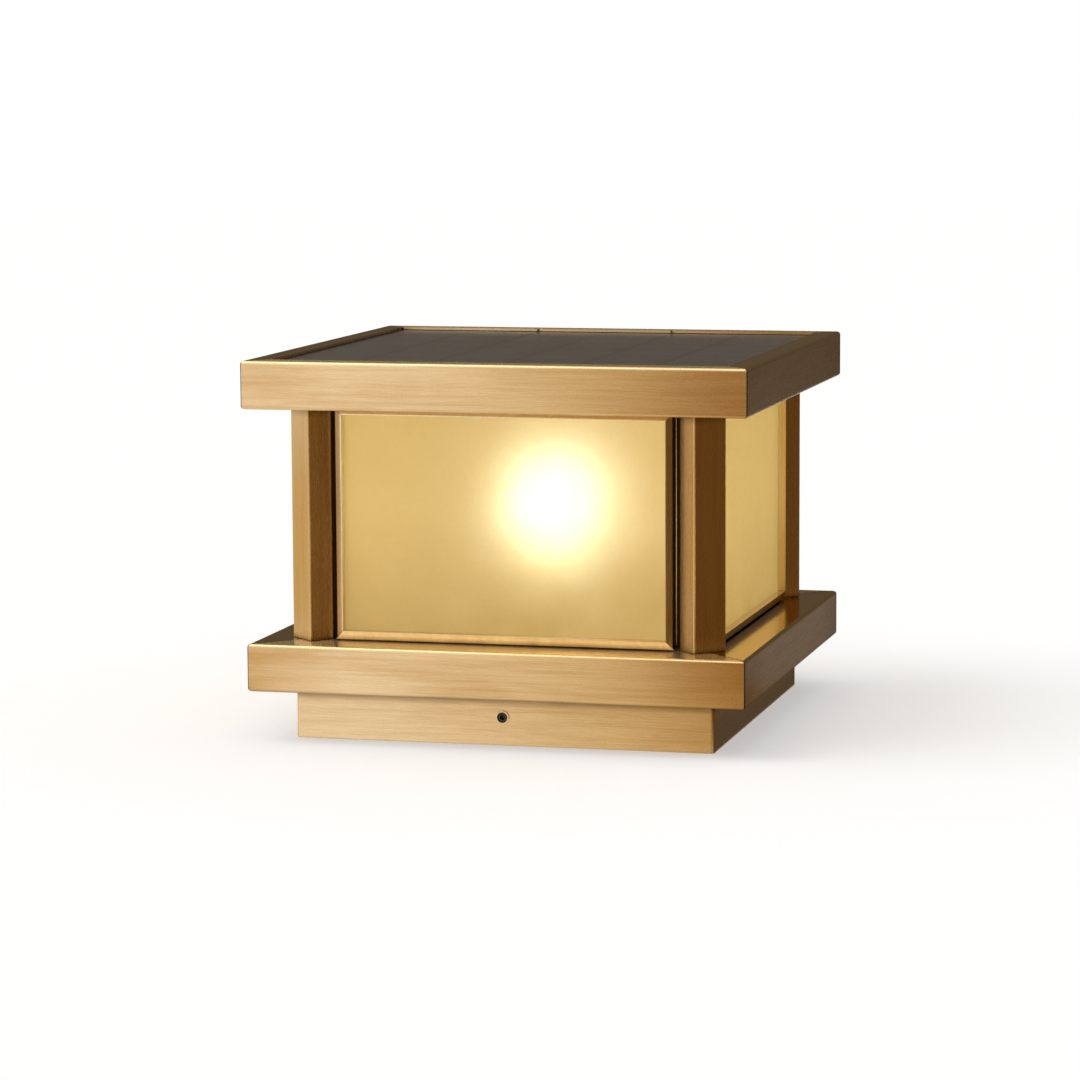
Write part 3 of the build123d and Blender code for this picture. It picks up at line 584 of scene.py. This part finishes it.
# %% Sealant in the mitres
# Half the bead's width, the depths of its outer and inner faces, and how far in it goes
SEAM_HALF = 0.00046
SEAM_TOP = 0.0005
SEAM_DEEP = 0.0014
SEAM_IN = 0.124
# The sheet's outer fold, and the width of the cap's rim
FOLD_R = 0.0021
FOLD_STEPS = 9
RIM_W = 0.014
CORNERS = {"front_right": (1, -1), "back_right": (1, 1), "back_left": (-1, 1), "front_left": (-1, -1)}


def fold_line(inner, outer, bottom, top, depth):
    """Points of a channel's section at a depth under its outer face.
    They go out along the top, round both folds and in again along the bottom.
    Each fold is a quarter circle about the same middle as the metal's."""
    quarter = np.linspace(np.pi / 2, 0.0, FOLD_STEPS)
    turn = np.concatenate([quarter, quarter - np.pi / 2])
    middle = np.repeat([top - FOLD_R, bottom + FOLD_R], FOLD_STEPS)
    across = outer - FOLD_R + (FOLD_R - depth) * np.cos(turn)
    height = middle + (FOLD_R - depth) * np.sin(turn)
    return (np.concatenate([[inner], across, [SEAM_IN]]),
            np.concatenate([[top - depth], height, [bottom + depth]]))


for level in ("cap", "base"):
    low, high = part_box(f"{level}_rail_front")
    outer = -low[1]
    inner = outer - RIM_W if level == "cap" else SEAM_IN
    upper = fold_line(inner, outer, low[2], high[2], SEAM_TOP)
    under = fold_line(inner, outer, low[2], high[2], SEAM_DEEP)
    for corner, (x, y) in CORNERS.items():
        aside = SEAM_HALF / math.sqrt(2.0) * np.array([-y, x])
        sides = []
        for (reach, up), side in ((upper, 1), (upper, -1), (under, -1), (under, 1)):
            sides.append(np.stack([x * reach + side * aside[0], y * reach + side * aside[1], up], -1))
        ringed_piece(f"{level}_seam_{corner}", "lantern", "black_rubber", np.stack(sides, 1))

# %% [markdown]
# The floor is a plain pale sheet, a hair below the light's feet, and the background is white.
# A camera ray, a mirror ray and a ray through glass all see that white, and the light that falls on the
# object is set apart from it, so a colour comes out about as it is written. The floor keeps the object's
# shadow. Its underside is clear, so that a camera below it can see the object's foot.

# %% Floor and background
WHITE = (1.0, 1.0, 1.0, 1.0)
FLOOR_HALF = 8.0
FLOOR_Z = -0.0002
FLOOR_PALE = 0.80
FLOOR_GLOW = 0.37
PAPER = {"Base Color": (FLOOR_PALE, FLOOR_PALE, FLOOR_PALE, 1.0), "Roughness": 0.9,
         "Specular IOR Level": 0.0, "Emission Color": WHITE}
SKY = (1.0, 0.99, 0.97, 1.0)
SKY_STRENGTH = 0.60


def lying(x0, y0, x1, y1, z):
    """The corners of a level sheet at a height."""
    return [(x0, y0, z), (x1, y0, z), (x1, y1, z), (x0, y1, z)]


def sheet_mesh(name, corners):
    """A flat four-cornered sheet as an object at the origin, its corners in metres."""
    mesh = bpy.data.meshes.new(name)
    mesh.from_pydata(corners, [], [(0, 1, 2, 3)])
    sheet = bpy.data.objects.new(name, mesh)
    bpy.context.scene.collection.objects.link(sheet)
    return sheet


def seen_directly(tree):
    """1 for camera, mirror and glass rays, 0 for the light that falls on a surface."""
    path = add(tree, "LightPath")
    first = math_of(tree, "MAXIMUM", path.outputs["Is Camera Ray"], path.outputs["Is Glossy Ray"])
    return math_of(tree, "MAXIMUM", first, path.outputs["Is Transmission Ray"])


floor = sheet_mesh("floor", lying(-FLOOR_HALF, -FLOOR_HALF, FLOOR_HALF, FLOOR_HALF, FLOOR_Z))
tree, shader = finish("floor_paper", PAPER)
glow = math_of(tree, "MULTIPLY", seen_directly(tree), FLOOR_GLOW)
tree.links.new(glow, shader.inputs["Emission Strength"])
one_way = add(tree, "MixShader")
tree.links.new(add(tree, "NewGeometry").outputs["Backfacing"], one_way.inputs[0])
tree.links.new(shader.outputs["BSDF"], one_way.inputs[1])
tree.links.new(add(tree, "BsdfTransparent").outputs["BSDF"], one_way.inputs[2])
tree.links.new(one_way.outputs[0], tree.nodes["Material Output"].inputs["Surface"])
floor.data.materials.append(finishes["floor_paper"])

world = bpy.data.worlds.new("studio")
bpy.context.scene.world = world
world.use_nodes = True
tree = world.node_tree
tree.nodes.clear()
soft = add(tree, "Background", Color=SKY, Strength=SKY_STRENGTH)
white = add(tree, "Background", Color=WHITE, Strength=1.0)
choice = add(tree, "MixShader")
out = add(tree, "OutputWorld")
tree.links.new(seen_directly(tree), choice.inputs[0])
tree.links.new(soft.outputs[0], choice.inputs[1])
tree.links.new(white.outputs[0], choice.inputs[2])
tree.links.new(choice.outputs[0], out.inputs["Surface"])
print("floor and background ready")

# %% [markdown]
# Brass shows what stands round it, so a photographer lights it with cards as much as with lamps.
# In front stand and lie cards that go from white on the left to brown on the right, for the slow change of
# tone of the front faces. Brown and dark cards stand and lie on the right and behind, where the metal is to
# look deep. A straw-coloured one lies on the left for the sides of the posts, and a bright one hangs high
# in front for the folds and the upper faces. Only mirror rays see the cards, so they never stand in a
# picture or throw a shadow.

# %% Cards
CARD_GLOW = 1.5
SOFT_GLOW = 2.4
CARD_WHITE = (0.94, 0.96, 1.0)
CARD_PALE = (0.78, 0.76, 0.72)
CARD_WARM = (0.67, 0.62, 0.53)
CARD_GOLD = (0.9, 0.8, 0.6)
CARD_SOFT = (1.0, 0.97, 0.92)
CARD_STRAW = (0.58, 0.48, 0.27)
CARD_BROWN = (0.10, 0.05, 0.010)
CARD_GREY = (0.133, 0.11, 0.093)
CARD_DARK = (0.067, 0.049, 0.030)
# The way along which cards are graded, the colours they come to, and where on them the grading is
GRADE_WAY = (1.0, -0.2576, 0.0)
GRADE = ((0.0, 0.52, (0.65, 0.57, 0.41)),
         (0.52, 0.81, (0.47, 0.34, 0.157)),
         (0.81, 1.0, (0.25, 0.13, 0.03)))
FRONT_FALL = (-0.10, 0.24)
FLOOR_FALL = (-0.05, 0.17)
STRIP_FALL = (-0.05, 0.24)
# Edges of the cards from front to back
AHEAD = -1.7
NEAR = -0.65
STRIP = -0.37
BESIDE = 0.1
BEHIND = 1.6
# Edges from the object outwards to the right, and the left edge of the card behind
FOOT = 0.1263
SIDE = 0.17
EDGE = 0.55
FAR = 2.2
BEHIND_LEFT = -1.2
# Heights: cards on the floor, one on top of another, standing cards and the card above
CARD_Z = 0.0003
LEFT_Z = 0.0006
CARD_H = 1.3
CARD_TALL = 3.0
ABOVE = 2.0
ABOVE_HALF = 1.2
ABOVE_FRONT = -1.45
ABOVE_BACK = -0.85
# The card on the left
LEFT_FAR = -1.8
LEFT_NEAR = -0.5
LEFT_FRONT = -0.3
LEFT_BACK = 0.7


def mirror_card(name, corners, shade, fall=None, glow=CARD_GLOW):
    """A plain card that only mirror rays see. Where fall gives two distances, it is graded between them."""
    card = sheet_mesh(name, corners)
    tree, shader = finish(name, {"Base Color": (0, 0, 0, 1), "Specular IOR Level": 0.0, "Roughness": 1.0,
                                 "Emission Color": (*shade, 1.0), "Emission Strength": glow})
    if fall:
        skew = add(tree, "VectorMath", {"operation": "DOT_PRODUCT"})
        skew.inputs[1].default_value = GRADE_WAY
        tree.links.new(add(tree, "TexCoord").outputs["Object"], skew.inputs[0])
        tone = shade
        place = spread(tree, skew.outputs["Value"], 0.0, 1.0, *fall)
        for start, end, colour in GRADE:
            tone = between(tree, spread(tree, place, 0.0, 1.0, start, end), tone, colour)
        tree.links.new(tone, shader.inputs["Emission Color"])
    card.data.materials.append(finishes[name])
    for kind in ("camera", "diffuse", "transmission", "shadow"):
        setattr(card, "visible_" + kind, False)


def upright(first, second, height):
    """The corners of a card that stands on the floor between two points."""
    return [(*first, 0), (*second, 0), (*second, height), (*first, height)]


mirror_card("card_front", upright((-FAR, AHEAD), (SIDE, AHEAD), CARD_H), CARD_WHITE, FRONT_FALL)
mirror_card("card_floor", lying(-FAR, AHEAD, SIDE, STRIP, CARD_Z), CARD_WARM, FLOOR_FALL)
mirror_card("card_strip", lying(-FAR, STRIP, SIDE, -FOOT, CARD_Z), CARD_PALE, STRIP_FALL)
mirror_card("card_near_right", lying(SIDE, AHEAD, EDGE, NEAR, CARD_Z), CARD_GOLD)
mirror_card("card_front_right", upright((SIDE, AHEAD), (FAR, AHEAD), CARD_H), CARD_BROWN)
mirror_card("card_side", upright((FAR, AHEAD), (FAR, BEHIND), CARD_H), CARD_BROWN)
mirror_card("card_right", lying(SIDE, NEAR, FAR, BESIDE, CARD_Z), CARD_BROWN)
mirror_card("card_corner", lying(EDGE, AHEAD, FAR, NEAR, CARD_Z), CARD_BROWN)
mirror_card("card_far_right", lying(SIDE, BESIDE, FAR, BEHIND, CARD_Z), CARD_GREY)
mirror_card("card_foot", lying(FOOT, -FOOT, SIDE, BEHIND, CARD_Z), CARD_DARK)
mirror_card("card_behind", upright((BEHIND_LEFT, BEHIND), (FAR, BEHIND), CARD_TALL), CARD_DARK)
mirror_card("card_above", lying(-ABOVE_HALF, ABOVE_FRONT, ABOVE_HALF, ABOVE_BACK, ABOVE), CARD_SOFT,
            glow=SOFT_GLOW)
mirror_card("card_left", lying(LEFT_FAR, LEFT_FRONT, LEFT_NEAR, LEFT_BACK, LEFT_Z), CARD_STRAW)
print("cards ready")

# %% [markdown]
# One broad, even lamp stands high on the left, in front. An area lamp would do too, but a sun with a wide
# disc lights the floor evenly however far it reaches, and its shadow is as soft.

# %% Broad lamp
SUN_ENERGY = 0.8
SUN_DISC = math.radians(40.0)
SUN_WAY = (0.70, 0.30, -1.0)

sun = bpy.data.lights.new("broad_lamp", "SUN")
sun.energy = SUN_ENERGY
sun.angle = SUN_DISC
holder = bpy.data.objects.new("broad_lamp", sun)
bpy.context.scene.collection.objects.link(holder)
holder.rotation_euler = Vector(SUN_WAY).to_track_quat("-Z", "Y").to_euler()
print("lamp ready")

# %% [markdown]
# The camera stands where the photograph's did. Its place comes from fitting the light's straight edges to
# the picture: how far it is turned and lifted, how far away it stands, and how the picture's middle sits
# beside the light's axis. The long lens keeps the edges nearly parallel.

# %% Camera
CAM_TURN = math.radians(14.4541)
CAM_LIFT = math.radians(7.2062)
CAM_AWAY = 2.3493652
CAM_ASIDE = -0.0090322
CAM_UP = 0.1052677
CAM_ROLL = math.radians(-0.2941)
CAM_LENS = 128.0
CAM_SENSOR = 36.0
CAM_SEES = 50.0

right = Vector((math.cos(CAM_TURN), math.sin(CAM_TURN), 0.0))
outward = Vector((math.sin(CAM_TURN), -math.cos(CAM_TURN), 0.0))
back = outward * math.cos(CAM_LIFT) + Vector((0.0, 0.0, math.sin(CAM_LIFT)))
up = back.cross(right)
place = back * CAM_AWAY + right * CAM_ASIDE + Vector((0, 0, CAM_UP))
turned_right = right * math.cos(CAM_ROLL) + up * math.sin(CAM_ROLL)
turned_up = up * math.cos(CAM_ROLL) - right * math.sin(CAM_ROLL)
stance = Matrix((turned_right, turned_up, back)).transposed().to_4x4()
camera = bpy.data.objects.new("camera", bpy.data.cameras.new("camera"))
bpy.context.scene.collection.objects.link(camera)
camera.data.lens = CAM_LENS
camera.data.sensor_width = CAM_SENSOR
camera.data.clip_end = CAM_SEES
camera.matrix_world = Matrix.Translation(place) @ stance
bpy.context.scene.camera = camera
bpy.context.scene.view_settings.view_transform = "Standard"
print("camera at", [round(c, 3) for c in place])
